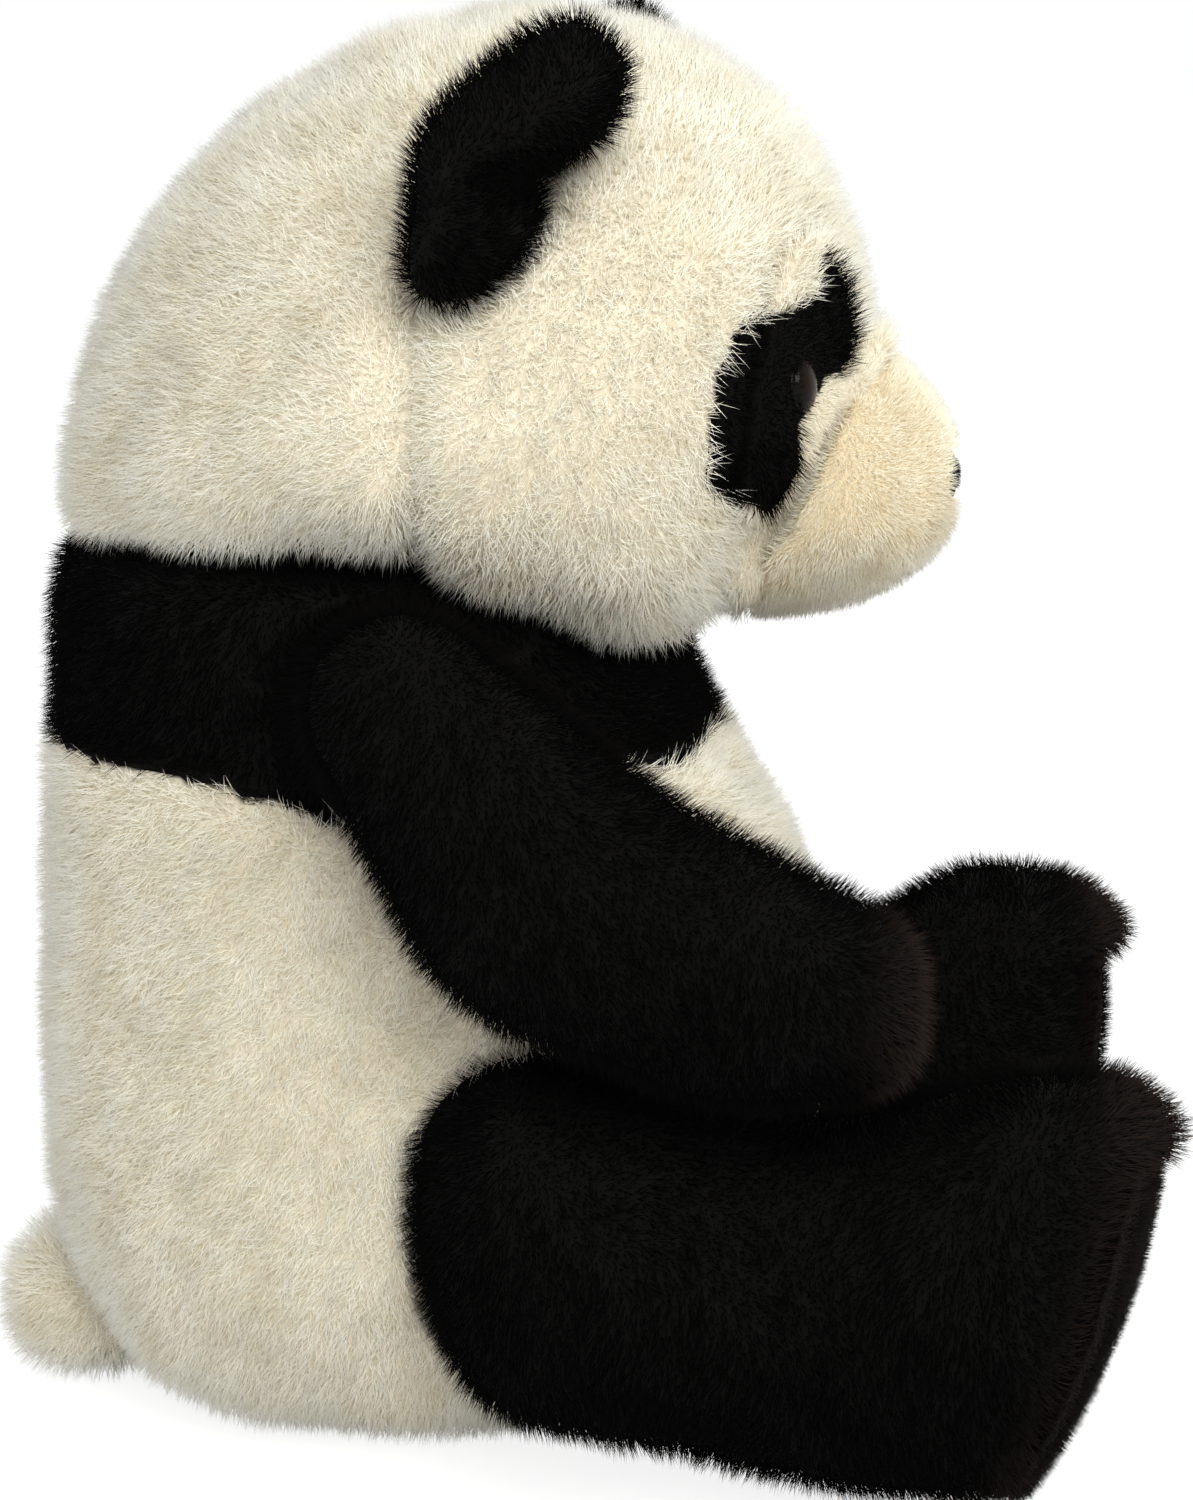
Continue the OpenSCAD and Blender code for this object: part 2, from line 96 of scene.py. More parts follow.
def strand_finish(name, root, middle, tip, rough, shine):
    """Colour from root to tip, the roots darker as painted shade deep in the pile, and from one
    strand to the next, with brown mixed into the tips as a painted rim highlight.
    """
    finish, tree, shader = finish_tree(name)
    along = reading(tree, "along")
    tone = reading(tree, "tone")
    # Roots darker than tips: painted shade deep in the pile
    colours = ramp(tree, [(0, root), (0.55, middle), (1, tip)])
    tree.links.new(along.outputs["Fac"], colours.inputs["Fac"])
    shade = tree.nodes.new("ShaderNodeMix")
    shade.data_type = "RGBA"
    shade.blend_type = "MULTIPLY"
    shade.inputs["Factor"].default_value = 1
    tree.links.new(colours.outputs["Color"], shade.inputs["A"])
    tint = tree.nodes.new("ShaderNodeCombineColor")
    for channel, power in WARMTH.items():
        warm = tree.nodes.new("ShaderNodeMath")
        warm.operation = "POWER"
        warm.inputs[1].default_value = power
        tree.links.new(tone.outputs["Fac"], warm.inputs[0])
        tree.links.new(warm.outputs[0], tint.inputs[channel])
    tree.links.new(tint.outputs["Color"], shade.inputs["B"])
    # Painted rim highlight: brown mixed into the tips as far as the reading says
    amount = tree.nodes.new("ShaderNodeMath")
    amount.operation = "MULTIPLY"
    tree.links.new(reading(tree, "worn").outputs["Fac"], amount.inputs[0])
    tree.links.new(along.outputs["Fac"], amount.inputs[1])
    rim_lit = tree.nodes.new("ShaderNodeMix")
    rim_lit.data_type = "RGBA"
    tree.links.new(amount.outputs[0], rim_lit.inputs["Factor"])
    tree.links.new(shade.outputs["Result"], rim_lit.inputs["A"])
    rim_lit.inputs["B"].default_value = (*PAINTED_RIM_BROWN, 1)
    tree.links.new(rim_lit.outputs["Result"], shader.inputs["Base Color"])
    shader.inputs["Roughness"].default_value = rough
    shader.inputs["Specular IOR Level"].default_value = shine
    return finish


def backing_finish(name, low, high):
    """Knitted backing seen between the strands, black where a cover is marked as dyed."""
    finish, tree, shader = finish_tree(name)
    where = tree.nodes.new("ShaderNodeTexCoord")
    knit = tree.nodes.new("ShaderNodeTexNoise")
    knit.inputs["Scale"].default_value = 900
    knit.inputs["Detail"].default_value = 2
    tree.links.new(where.outputs["Object"], knit.inputs["Vector"])
    colours = ramp(tree, [(0.3, low), (0.7, high)])
    tree.links.new(knit.outputs["Fac"], colours.inputs["Fac"])
    dyed = tree.nodes.new("ShaderNodeMix")
    dyed.data_type = "RGBA"
    tree.links.new(reading(tree, "dyed").outputs["Fac"], dyed.inputs["Factor"])
    tree.links.new(colours.outputs["Color"], dyed.inputs["A"])
    dyed.inputs["B"].default_value = (*DYED_BLACK, 1)
    tree.links.new(dyed.outputs["Result"], shader.inputs["Base Color"])
    bump = tree.nodes.new("ShaderNodeBump")
    bump.inputs["Strength"].default_value = 0.6
    bump.inputs["Distance"].default_value = 0.0008
    tree.links.new(knit.outputs["Fac"], bump.inputs["Height"])
    tree.links.new(bump.outputs["Normal"], shader.inputs["Normal"])
    shader.inputs["Roughness"].default_value = 0.95
    shader.inputs["Specular IOR Level"].default_value = 0.1
    return finish


# Padded covers

CLOTH_STEPS = 20
CLOTH_PRESSURE = 4
TOUCHING = 1e-6


def new_object(name, mesh):
    obj = bpy.data.objects.new(name, mesh)
    scene.collection.objects.link(obj)
    return obj


def evaluated_mesh(obj):
    bpy.context.view_layer.update()
    deps = bpy.context.evaluated_depsgraph_get()
    return bpy.data.meshes.new_from_object(obj.evaluated_get(deps), depsgraph=deps)


def points_of(mesh):
    co = np.empty(len(mesh.vertices) * 3, np.float32)
    mesh.vertices.foreach_get("co", co)
    return co.reshape(-1, 3).astype(float)


def normals_of(mesh):
    n = np.empty(len(mesh.vertices) * 3, np.float32)
    mesh.vertex_normals.foreach_get("vector", n)
    return n.reshape(-1, 3).astype(float)


def move_points(mesh, co):
    mesh.vertices.foreach_set("co", co.astype(np.float32).ravel())
    mesh.update()


def cover(name, names, voxel, rounds):
    """One smooth closed form round the CAD nodes that a cover and its stuffing are.

    voxel is its grain in millimetres, and rounds is how often it is smoothed.
    """
    bm = bmesh.new()
    for n in names:
        bm.from_mesh(nodes[n].data)
    bmesh.ops.remove_doubles(bm, verts=bm.verts, dist=TOUCHING)
    mesh = bpy.data.meshes.new(name)
    bm.to_mesh(mesh)
    bm.free()
    obj = new_object(name, mesh)
    wrap = obj.modifiers.new("wrap", "REMESH")
    wrap.mode = "VOXEL"
    wrap.voxel_size = voxel * mm
    ease = obj.modifiers.new("ease", "SMOOTH")
    ease.factor = 0.5
    ease.iterations = rounds
    smooth = evaluated_mesh(obj)
    obj.modifiers.clear()
    obj.data = smooth
    smooth.name = name
    smooth.shade_smooth()
    smooth.materials.clear()
    return obj


def keep_side(obj, at, towards):
    """Cuts a cover at a seam's plane and closes the cut."""
    bm = bmesh.new()
    bm.from_mesh(obj.data)
    geom = bm.verts[:] + bm.edges[:] + bm.faces[:]
    cut = bmesh.ops.bisect_plane(
        bm, geom=geom, dist=TOUCHING, plane_co=at, plane_no=towards, clear_inner=True)
    rim = [e for e in cut["geom_cut"] if isinstance(e, bmesh.types.BMEdge)]
    bmesh.ops.holes_fill(bm, edges=rim, sides=0)
    bmesh.ops.triangulate(bm, faces=[f for f in bm.faces if len(f.verts) > 4])
    bm.to_mesh(obj.data)
    bm.free()
    obj.data.shade_smooth()
    return obj


def copy_of(obj, name):
    other = new_object(name, obj.data.copy())
    other.data.name = name
    return other


def near(value, at, width):
    """One at a place, falling off smoothly on both sides."""
    return np.exp(-((value - at) / width) ** 2)


def rise(value, low, high):
    """Nought below low, one above high."""
    t = np.clip((value - low) / (high - low), 0, 1)
    return t * t * (3 - 2 * t)


def waves(p, size, seed, count=9):
    """Smooth uneven values of about minus one to one over points in millimetres."""
    rng = np.random.default_rng(seed)
    way = unit(rng.normal(size=(count, 3))) * (2 * math.pi / size)
    way = way * rng.uniform(0.6, 1.5, (count, 1))
    return np.sin(p @ way.T + rng.uniform(0, 2 * math.pi, count)).sum(1) / math.sqrt(count)


def unit(v):
    return v / np.maximum(np.linalg.norm(v, axis=-1, keepdims=True), 1e-9)


def stuffed(obj, seams, sink=2.5, swell=3.0):
    """Fills a cover by cloth simulation.

    It starts slack by sink, its seams hold, and the rest swells by up to swell, in millimetres.
    """
    mesh = obj.data
    held = np.clip(seams(points_of(mesh) / mm), 0, 1)
    slack = points_of(mesh) - normals_of(mesh) * sink * mm
    move_points(mesh, slack)
    group = obj.vertex_groups.new(name="seams")
    for i in np.nonzero(held > 0.02)[0]:
        group.add([int(i)], float(held[i]), "REPLACE")
    cloth = obj.modifiers.new("filling", "CLOTH")
    cloth.settings.quality = 4
    cloth.settings.use_pressure = True
    cloth.settings.uniform_pressure_force = CLOTH_PRESSURE
    cloth.settings.effector_weights.gravity = 0
    cloth.settings.vertex_group_mass = "seams"
    cloth.point_cache.frame_end = CLOTH_STEPS
    for step in range(1, CLOTH_STEPS + 1):
        scene.frame_set(step)
    blown = points_of(evaluated_mesh(obj))
    obj.modifiers.remove(cloth)
    obj.vertex_groups.clear()
    scene.frame_set(1)
    move = blown - slack
    far = np.linalg.norm(move, axis=1, keepdims=True)
    move_points(mesh, slack + move * np.minimum(1, swell * mm / np.maximum(far, 1e-9)))
    finer = obj.modifiers.new("finer", "SUBSURF")
    finer.levels = finer.render_levels = 1
    smooth = evaluated_mesh(obj)
    obj.modifiers.clear()
    smooth.name = obj.name
    obj.data = smooth
    smooth.shade_smooth()
    return obj


def shaped(obj, change):
    """Moves a cover's points as change(points, normals) says, in millimetres."""
    p = points_of(obj.data) / mm
    move_points(obj.data, change(p.copy(), normals_of(obj.data)) * mm)
    return obj


def lumpy(p, n, seed, height=0.7):
    """Uneven stuffing felt through a cover."""
    return p + n * (waves(p, 34, seed) * height)[:, None]


# Pile

# Corners of a strand: three at its root, then its tip
STRAND_CORNERS = 4
STRAND_FACES = [(0, 1, 3), (1, 2, 3), (2, 0, 3)]
# Most strands in one mesh
STRANDS_EACH = 64000
# Height of the lowest strands over the floor, in millimetres
FLOOR_GAP = 0.3
SEARCH = 40


def strand_shape():
    """A three-sided fibre one long along Z, with a radius of one."""
    third = 2 * math.pi / 3
    corners = [(math.cos(a), math.sin(a), 0) for a in (0, third, 2 * third)] + [(0, 0, 1)]
    mesh = bpy.data.meshes.new("strand")
    mesh.from_pydata(corners, [], STRAND_FACES)
    mesh.shade_smooth()
    return new_object("strand", mesh)


def pile_tree():
    """Plants strands on a cover, leaning as it is combed, in tufts and each on its own."""
    tree = bpy.data.node_groups.new("pile", "GeometryNodeTree")
    sizes = tree.interface

    def entry(name, kind):
        sizes.new_socket(name=name, in_out="INPUT", socket_type="NodeSocket" + kind)

    entry("Cover", "Geometry")
    entry("Strand", "Object")
    entry("Finish", "Material")
    for name in ("Density", "Length", "Radius", "Lean", "Tuft lean", "Tuft size", "Stray lean"):
        entry(name, "Float")
    entry("Seed", "Int")
    sizes.new_socket(name="Pile", in_out="OUTPUT", socket_type="NodeSocketGeometry")

    def node(kind, **settings):
        n = tree.nodes.new(kind)
        for key, value in settings.items():
            setattr(n, key, value)
        return n

    def link(a, b):
        tree.links.new(a, b)

    given = node("NodeGroupInput").outputs
    done = node("NodeGroupOutput").inputs["Pile"]

    def named(name, kind):
        n = node("GeometryNodeInputNamedAttribute", data_type=kind)
        n.inputs["Name"].default_value = name
        return next(s for s in n.outputs if s.enabled and s.name == "Attribute")

    def maths(kind, a, b):
        n = node("ShaderNodeMath", operation=kind)
        for s, v in ((n.inputs[0], a), (n.inputs[1], b)):
            if isinstance(v, (int, float)):
                s.default_value = v
            else:
                link(v, s)
        return n.outputs[0]

    def vector(kind, a, b):
        n = node("ShaderNodeVectorMath", operation=kind)
        for s, v in ((n.inputs[0], a), (n.inputs[1], b)):
            if isinstance(v, tuple):
                s.default_value = v
            else:
                link(v, s)
        return n.outputs["Vector"]

    def scaled(v, by):
        n = node("ShaderNodeVectorMath", operation="SCALE")
        link(v, n.inputs[0])
        link(by, n.inputs["Scale"])
        return n.outputs["Vector"]

    def chance(low, high, step, kind="FLOAT"):
        n = node("FunctionNodeRandomValue", data_type=kind)
        ends = [s for s in n.inputs if s.enabled and s.name in ("Min", "Max")]
        ends[0].default_value, ends[1].default_value = low, high
        link(maths("ADD", given["Seed"], step), n.inputs["Seed"])
        return next(s for s in n.outputs if s.enabled)

    def drift(size):
        n = node("ShaderNodeTexNoise")
        n.inputs["Detail"].default_value = 1.5
        link(maths("DIVIDE", 1.0, size), n.inputs["Scale"])
        return n.outputs

    spread = node("GeometryNodeDistributePointsOnFaces", distribute_method="RANDOM")
    link(given["Cover"], spread.inputs["Mesh"])
    link(maths("MULTIPLY", given["Density"], named("fill", "FLOAT")), spread.inputs["Density"])
    link(given["Seed"], spread.inputs["Seed"])

    tufts = drift(given["Tuft size"])
    combed = scaled(named("comb", "FLOAT_VECTOR"), given["Lean"])
    lean = vector("ADD", spread.outputs["Normal"], combed)
    tuft = scaled(vector("SUBTRACT", tufts["Color"], (0.5, 0.5, 0.5)), given["Tuft lean"])
    stray = scaled(chance((-1, -1, -1), (1, 1, 1), 11, "FLOAT_VECTOR"), given["Stray lean"])
    towards = vector("ADD", vector("ADD", lean, tuft), stray)
    turn = node("FunctionNodeAlignRotationToVector", axis="Z")
    link(towards, turn.inputs["Vector"])

    full = maths("MULTIPLY", given["Length"], named("reach", "FLOAT"))
    length = maths("MULTIPLY", full, chance(0.7, 1.12, 23))
    size = node("ShaderNodeCombineXYZ")
    link(given["Radius"], size.inputs["X"])
    link(given["Radius"], size.inputs["Y"])
    link(length, size.inputs["Z"])

    shape = node("GeometryNodeObjectInfo")
    link(given["Strand"], shape.inputs["Object"])
    plant = node("GeometryNodeInstanceOnPoints")
    link(spread.outputs["Points"], plant.inputs["Points"])
    link(shape.outputs["Geometry"], plant.inputs["Instance"])
    link(turn.outputs["Rotation"], plant.inputs["Rotation"])
    link(size.outputs["Vector"], plant.inputs["Scale"])

    whole = node("GeometryNodeRealizeInstances")
    link(plant.outputs["Instances"], whole.inputs["Geometry"])
    dress = node("GeometryNodeSetMaterial")
    link(whole.outputs["Geometry"], dress.inputs["Geometry"])
    link(given["Finish"], dress.inputs["Material"])
    link(dress.outputs["Geometry"], done)
    return tree


def cell_map(mesh, count):
    """Gives every strand its own cell of the map that its colour is baked to."""
    side = math.ceil(math.sqrt(count))
    k = np.arange(count)
    corner = np.stack([k % side, k // side], 1)[:, None, None, :]
    x = np.array([[0.04, 0.3, 0.17], [0.37, 0.63, 0.5], [0.7, 0.96, 0.83]])
    y = np.array([[0.05, 0.05, 0.95]] * 3)
    uv = (corner + np.stack([x, y], 2)[None]) / side
    layer = mesh.uv_layers.new(name="OFBake")
    layer.data.foreach_set("uv", uv.astype(np.float32).ravel())


def strands_from(co, tone, rim_lit, name, finish):
    """One mesh of strands, with the readings that its finish is coloured by."""
    count = len(co) // STRAND_CORNERS
    mesh = bpy.data.meshes.new(name)
    base = np.arange(count)[:, None, None] * STRAND_CORNERS
    faces = (base + np.array(STRAND_FACES)[None]).reshape(-1, 3)
    mesh.vertices.add(len(co))
    mesh.loops.add(len(faces) * 3)
    mesh.polygons.add(len(faces))
    mesh.vertices.foreach_set("co", co.astype(np.float32).ravel())
    mesh.loops.foreach_set("vertex_index", faces.astype(np.int32).ravel())
    mesh.polygons.foreach_set("loop_start", np.arange(0, len(faces) * 3, 3, dtype=np.int32))
    mesh.update(calc_edges=True)
    mesh.shade_smooth()
    write_points(mesh, "along", np.tile([0, 0, 0, 1], count))
    write_points(mesh, "tone", np.repeat(tone, STRAND_CORNERS))
    write_points(mesh, "worn", np.repeat(rim_lit, STRAND_CORNERS))
    cell_map(mesh, count)
    mesh.materials.append(finish)
    return new_object(name, mesh)


def grow_pile(skin, name, body, seed, slot, finish, density, length, radius,
              lean, tuft_lean, tuft_size, stray):
    """Plants strands over a cover as plain meshes, a few for each cover."""
    thinned, thickened = ((1, 1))
    settings = {
        "Strand": strand, "Finish": finish, "Density": density * 1e6 * thinned,
        "Length": length * mm, "Radius": radius * mm * thickened, "Lean": lean,
        "Tuft lean": tuft_lean, "Tuft size": tuft_size * mm, "Stray lean": stray, "Seed": seed}
    planter = skin.modifiers.new("pile", "NODES")
    planter.node_group = pile
    for item in pile.interface.items_tree:
        if item.name in settings:
            planter[item.identifier] = settings[item.name]
    grown = evaluated_mesh(skin)
    skin.modifiers.remove(planter)
    co = points_of(grown)
    co[:, 2] = np.maximum(co[:, 2], FLOOR_GAP * mm)
    bpy.data.meshes.remove(grown)
    root = co[::STRAND_CORNERS] / mm
    count = len(root)
    rng = np.random.default_rng(seed)
    patchy = 0.045 * waves(root, 9, seed) + 0.05 * waves(root, 24, seed + 1)
    tone = np.clip(1 + rng.normal(0, 0.05, count) + patchy, 0.78, 1.06)
    # Painted rim highlight on black pile at the paws' tips and round the soles
    rim_lit = worn(root) * (finish is black_strand)
    parts = max(1, math.ceil(count / STRANDS_EACH))
    for i in range(parts):
        a, b = count * i // parts, count * (i + 1) // parts
        label = name if parts == 1 else f"{name}_{i + 1}"
        own = co[a * STRAND_CORNERS:b * STRAND_CORNERS]
        piece = strands_from(own, tone[a:b], rim_lit[a:b], label, finish)
        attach(piece, body)


def write_points(mesh, name, values):
    """Writes one value, or one vector, on each point of a mesh."""
    kind, entry = ("FLOAT_VECTOR", "vector") if values.ndim == 2 else ("FLOAT", "value")
    layer = mesh.attributes.get(name) or mesh.attributes.new(name, kind, "POINT")
    layer.data.foreach_set(entry, values.astype(np.float32).ravel())


def dress(skin, comb, fill, reach, seed):
    """Writes on a cover which way its pile is combed, where it grows and how long it is."""
    mesh = skin.data
    p, n = points_of(mesh) / mm, normals_of(mesh)
    swirl = np.stack([waves(p, 70, seed + k) for k in range(3)], 1)
    comb = unit(comb) + 0.55 * swirl
    comb = unit(comb - (comb * n).sum(1, keepdims=True) * n)
    write_points(mesh, "comb", comb)
    write_points(mesh, "fill", fill)
    write_points(mesh, "reach", reach)


def tree_of(obj):
    mesh = obj.data
    return BVHTree.FromPolygons(
        [v.co[:] for v in mesh.vertices], [p.vertices[:] for p in mesh.polygons])


def in_the_open(obj, clear):
    """One where a cover is in the open, nought where another cover lies on it.

    clear is the gap in millimetres that counts as open. Without one, all of it does.
    """
    co = points_of(obj.data)
    fill = np.ones(len(co))
    if clear is None:
        return fill
    gap_kept = clear * mm
    for other in covers:
        if other is obj:
            continue
        low, high = boxes[other.name]
        in_box = ((co > low - gap_kept) & (co < high + gap_kept)).all(1)
        for i in np.nonzero(in_box & (fill > 0))[0]:
            at = Vector(co[i])
            place, normal, _, gap = trees[other.name].find_nearest(at, SEARCH * mm)
            if place is not None and (gap < gap_kept or (at - place).dot(normal) < 0):
                fill[i] = 0
    return fill


def inside(outline, u, v):
    """Which points lie inside an outline of (u, v) corners."""
    hit = np.zeros(len(u), bool)
    for (u0, v0), (u1, v1) in zip(outline, outline[1:] + outline[:1]):
        if v0 != v1:
            hit ^= ((v0 > v) != (v1 > v)) & (u < (u1 - u0) * (v - v0) / (v1 - v0) + u0)
    return hit


# Forms of the covers, in millimetres

# Heights and places of the seams, and how far out the feet point
BAND_Z = 181
SIDE_SEAM_Y = 32
FOOT_TURN = math.radians(10)
# How far the end of a leg is set ahead to meet its sole, and the sole's slope: heights and places
SOLE_SET = 2.5
SOLE_SLOPE = ([12, 92], [139, 168.6])
TOE_Z = 97
# Left eye's middle, and the ways out of it, towards the ear and up
EYE_AT = np.array([58, -61.5, 277])
EYE_OUT = np.array([0.510, -0.849, 0.139])
EYE_SIDE = np.array([0.857, 0.515, 0])
EYE_UP = np.cross(EYE_OUT, EYE_SIDE)
EYE_DEPTH = 25
NOSE_AT = np.array([0, -97, 247])
MUZZLE_Z = 248
# Hollow under the head, and the seat of the tail
NECK_Y, NECK_RADIUS, NECK_TOP, NAPE_Y = 57, 78, 246, 95
UNDER_HEAD_Z = 232
TAIL_SEAT_Y = 117
ARM_X = 123.5
PAW_TIPS = np.array([[-ARM_X, -92, 138], [ARM_X, 73, 60]])
# Eye patch from the eye's middle: towards the ear, and up
PATCH = [(30, -22), (33, -15), (35, -7), (34, 0), (32, 7), (28, 13), (22, 17), (14, 18), (6, 19),
         (-4, 20), (-9, 24), (-10, 29), (-13, 33), (-20, 29), (-28, 23), (-33, 17), (-33, 9),
         (-28, 4), (-18, 1), (-8, 0), (-4, -4), (1, -7), (4, -10), (2, -14), (-1.5, -18),
         (-1.5, -23), (0, -28), (3, -31), (8, -30), (15, -27), (23, -24)]
# Edge of the muzzle's panel below the eye, as heights from the eye and places towards the ear
MUZZLE_EDGE = [(-60, 14), (-45, 9), (-31, 3), (-23, -1.5), (-18, -1.5), (-14, 2), (-10, 4),
               (-7, 1), (-4, -4), (0, -8), (1, -18), (4, -28), (9, -33)]


def from_eye(p):
    """How far points lie from the nearer eye: towards the ear, up and out of the face."""
    q = np.column_stack([np.abs(p[:, 0]), p[:, 1:]]) - EYE_AT
    return q @ EYE_SIDE, q @ EYE_UP, q @ EYE_OUT


def past_muzzle_edge(p):
    """How far points lie inside the edge of the muzzle's panel, below nought outside it."""
    u, v, out = from_eye(p)
    return np.where((v < 9) & (p[:, 1] < -40), np.interp(v, *zip(*MUZZLE_EDGE)) - u, -1)


def band_line(p):
    """Height of the seam under the chest band, which dips behind the arm."""
    x, y, z = p.T
    dip = 10 * near(y, 50, 26) * rise(abs(x), 40, 75)
    return BAND_Z - dip - 2.5 * rise(-y, 5, 30) + 1.3 * waves(p * [1, 1, 0], 24, 5)


def head_shape(p, n):
    """Draws in the side seam, and lets the jowls, the nape and the cheeks hang and bulge."""
    x, y, z = p.T
    side = rise(abs(x), 50, 85)
    low = 1 - rise(z, 236, 264)
    crease = near(y, SIDE_SEAM_Y, 5.5) * rise(abs(x), 45, 70) * (1 - rise(z, 296, 320))
    p = p - n * (4.5 * crease)[:, None]
    p = p + n * (2.2 * near(y, 15, 11) * near(z, 244, 22) * side)[:, None]
    jowl = near(y, -17, 22) * (1 - rise(z, 232, 268)) * (0.3 + 0.7 * rise(abs(x), 15, 45))
    nape = rise(y, 98, 128) * low
    p[:, 2] += 5.5 * near(y, 58, 26) * side * low - 13.5 * jowl - 6 * nape
    p[:, 1] += 2 * nape
    p[:, 0] += np.sign(x) * 2 * jowl
    dimple = near(y, -12, 9) * near(z, 236, 5) * side
    p = p - n * (1.8 * dimple)[:, None]
    u, v, out = from_eye(p)
    socket = near(np.hypot(u, v), 0, 11) * (abs(out) < EYE_DEPTH)
    cheek = rise(past_muzzle_edge(p), 0, 15)
    p = p + n * (7 * cheek - 2.5 * socket)[:, None]
    return lumpy(p, n, 21)


def ear_shape(p, n):
    """Narrows the ear's stem and lets its upper lobe hang over to the front."""
    x, y, z = p.T
    heights = [300, 312, 318, 324, 329, 333, 337, 342, 349, 356, 361, 364]
    shift = np.interp(z, heights, [0, 2, 6, 10, 11, 6, -2, -5, -7, -7, -4, 0])
    p[:, 1] += rise(-y, -26, 6) * shift - 2.2 * (1 - rise(z, 320, 336))
    p[:, 2] += 4 * (1 - rise(z, 294, 318))
    p = p + n * (3 * np.clip(n @ [0, 0.7, 0.7], 0, 1) * rise(z, 322, 342))[:, None]
    return lumpy(p, n, 31, 0.5)


def muzzle_shape(p, n):
    """Widens the muzzle where it is sewn to the face, to the sides and less above."""
    way = unit(p * [1, 0, 1] - [0, 0, MUZZLE_Z])
    flare = rise(p[:, 1], -94, -64) * rise(way[:, 2], -0.8, -0.1)
    p = p + way * [11, 0, 5] * flare[:, None]
    chin = np.clip(n @ [0, -0.8, -0.6], 0, 1)
    return lumpy(p + n * (1.2 * chin)[:, None], n, 61, 0.5)


def arm_shape(p, n):
    """Fills the forearm's underside and thins the upper arm."""
    x, y, z = p.T
    under = np.clip(n @ [0, 0.7, -0.7], 0, 1) * (6.5 * near(y, 11, 17) - 3 * near(y, 48, 14))
    p = p + n * under[:, None]
    return lumpy(p, n, 51)


def along_foot(p):
    """How far points lie ahead of the hips along their own foot, which points a little outwards."""
    return -p[:, 1] * math.cos(FOOT_TURN) + abs(p[:, 0]) * math.sin(FOOT_TURN)


def sole_curve(z):
    """How much the rounded sole stands out from a flat one, most of all in its middle."""
    return np.interp(z, [8, 16, 37, 60, 80, 91, 100], [-3.4, -3, -0.6, -0.7, -4, -6.2, -8])


def ahead_by(p, distance):
    """Moves points ahead along their own foot."""
    p[:, 0] += np.sign(p[:, 0]) * distance * math.sin(FOOT_TURN)
    p[:, 1] -= distance * math.cos(FOOT_TURN)
    return p


def flat_gap(p):
    """How far points lie ahead of a flat sole."""
    return along_foot(p) - np.interp(p[:, 2], *SOLE_SLOPE)


def sole_gap(p):
    """How far points lie ahead of the rounded sole."""
    return flat_gap(p) - sole_curve(p[:, 2])


def worn(p):
    """Up to one at the paws' tips and round the soles, where brown is mixed into the tips of black
    pile as a painted rim highlight.
    """
    from_tip = np.linalg.norm(p[:, None] - PAW_TIPS, axis=2).min(1)
    return np.maximum(0.8 * rise(sole_gap(p), -18, -3), 1 - rise(from_tip, 11, 30))


def sole_shape(p, n):
    """Rounds the sole, and sets the left one back at its top."""
    x, y, z = p.T
    p[:, 1] += 3.5 * (x > 0) * rise(z, 26, 66)
    return ahead_by(p, sole_curve(z))


def leg_shape(p, n):
    """Fills the heel, the hip and the toe, and fits the end of the leg to its sole."""
    x, y, z = p.T
    outer = rise(abs(x), 90, 104)
    heel = near(z, 20, 24) * rise(y, -34, -4) * outer
    end = flat_gap(p)
    below_toe = 1 - rise(z, 95, 100)
    front = rise(end, -22, -9) * below_toe
    far = x > 0
    instep = rise(z, 80, 110) * near(y, -94, 28) * far
    hip = 9.5 * np.clip(n @ [0, 0.75, 0.65], 0, 1) * near(z, 98, 30) * rise(y, -14, 10)
    p = p + n * hip[:, None]
    p[:, 1] += 10 * heel + 4.5 * far * rise(end, -34, -10) * rise(z, 26, 66) * below_toe
    p[:, 2] += 8.5 * instep
    toe = np.clip(n @ [0, -0.7, 0.7], 0, 1) * rise(along_foot(p), 120, 150) * rise(z, 92, 102)
    p = ahead_by(p + n * (3.2 * toe)[:, None], (sole_curve(z) + SOLE_SET) * front)
    return lumpy(p, n, 41)


def tail_shape(p, n):
    """Fills out the tail between its top, its underside and its end."""
    return p + n * (3 * abs(n[:, 1] * n[:, 2]))[:, None]


# Finishes of the plush

# Each pile's root colour is darker than its tip as painted shade deep in the pile
cream_strand = strand_finish("cream_pile", rough=0.8, shine=0.2, root=(0.8, 0.745, 0.6),
                             middle=(0.91, 0.885, 0.77), tip=(0.95, 0.94, 0.86))
beige_strand = strand_finish("beige_pile", rough=0.8, shine=0.2, root=(0.8, 0.73, 0.56),
                             middle=(0.91, 0.86, 0.71), tip=(0.94, 0.9, 0.77))
black_strand = strand_finish("black_pile", rough=0.75, shine=0.03, root=(0.001, 0.001, 0.001),
                             middle=(0.0016, 0.0014, 0.0013), tip=(0.0038, 0.0031, 0.0027))
sole_strand = strand_finish("sole_pile", rough=0.8, shine=0.06, root=(0.002, 0.0018, 0.0016),
                            middle=(0.0055, 0.0047, 0.0042), tip=(0.014, 0.0115, 0.01))
# The cream and beige backings are darker than their pile as painted shade under the strands
cream_back = backing_finish("cream_backing", (0.6, 0.54, 0.43), (0.72, 0.66, 0.54))
beige_back = backing_finish("beige_backing", (0.55, 0.45, 0.3), (0.68, 0.58, 0.4))
black_back = backing_finish("black_backing", (0.001, 0.001, 0.001), (0.002, 0.0018, 0.0017))
sole_back = backing_finish("sole_backing", (0.004, 0.0035, 0.003), (0.01, 0.008, 0.0065))

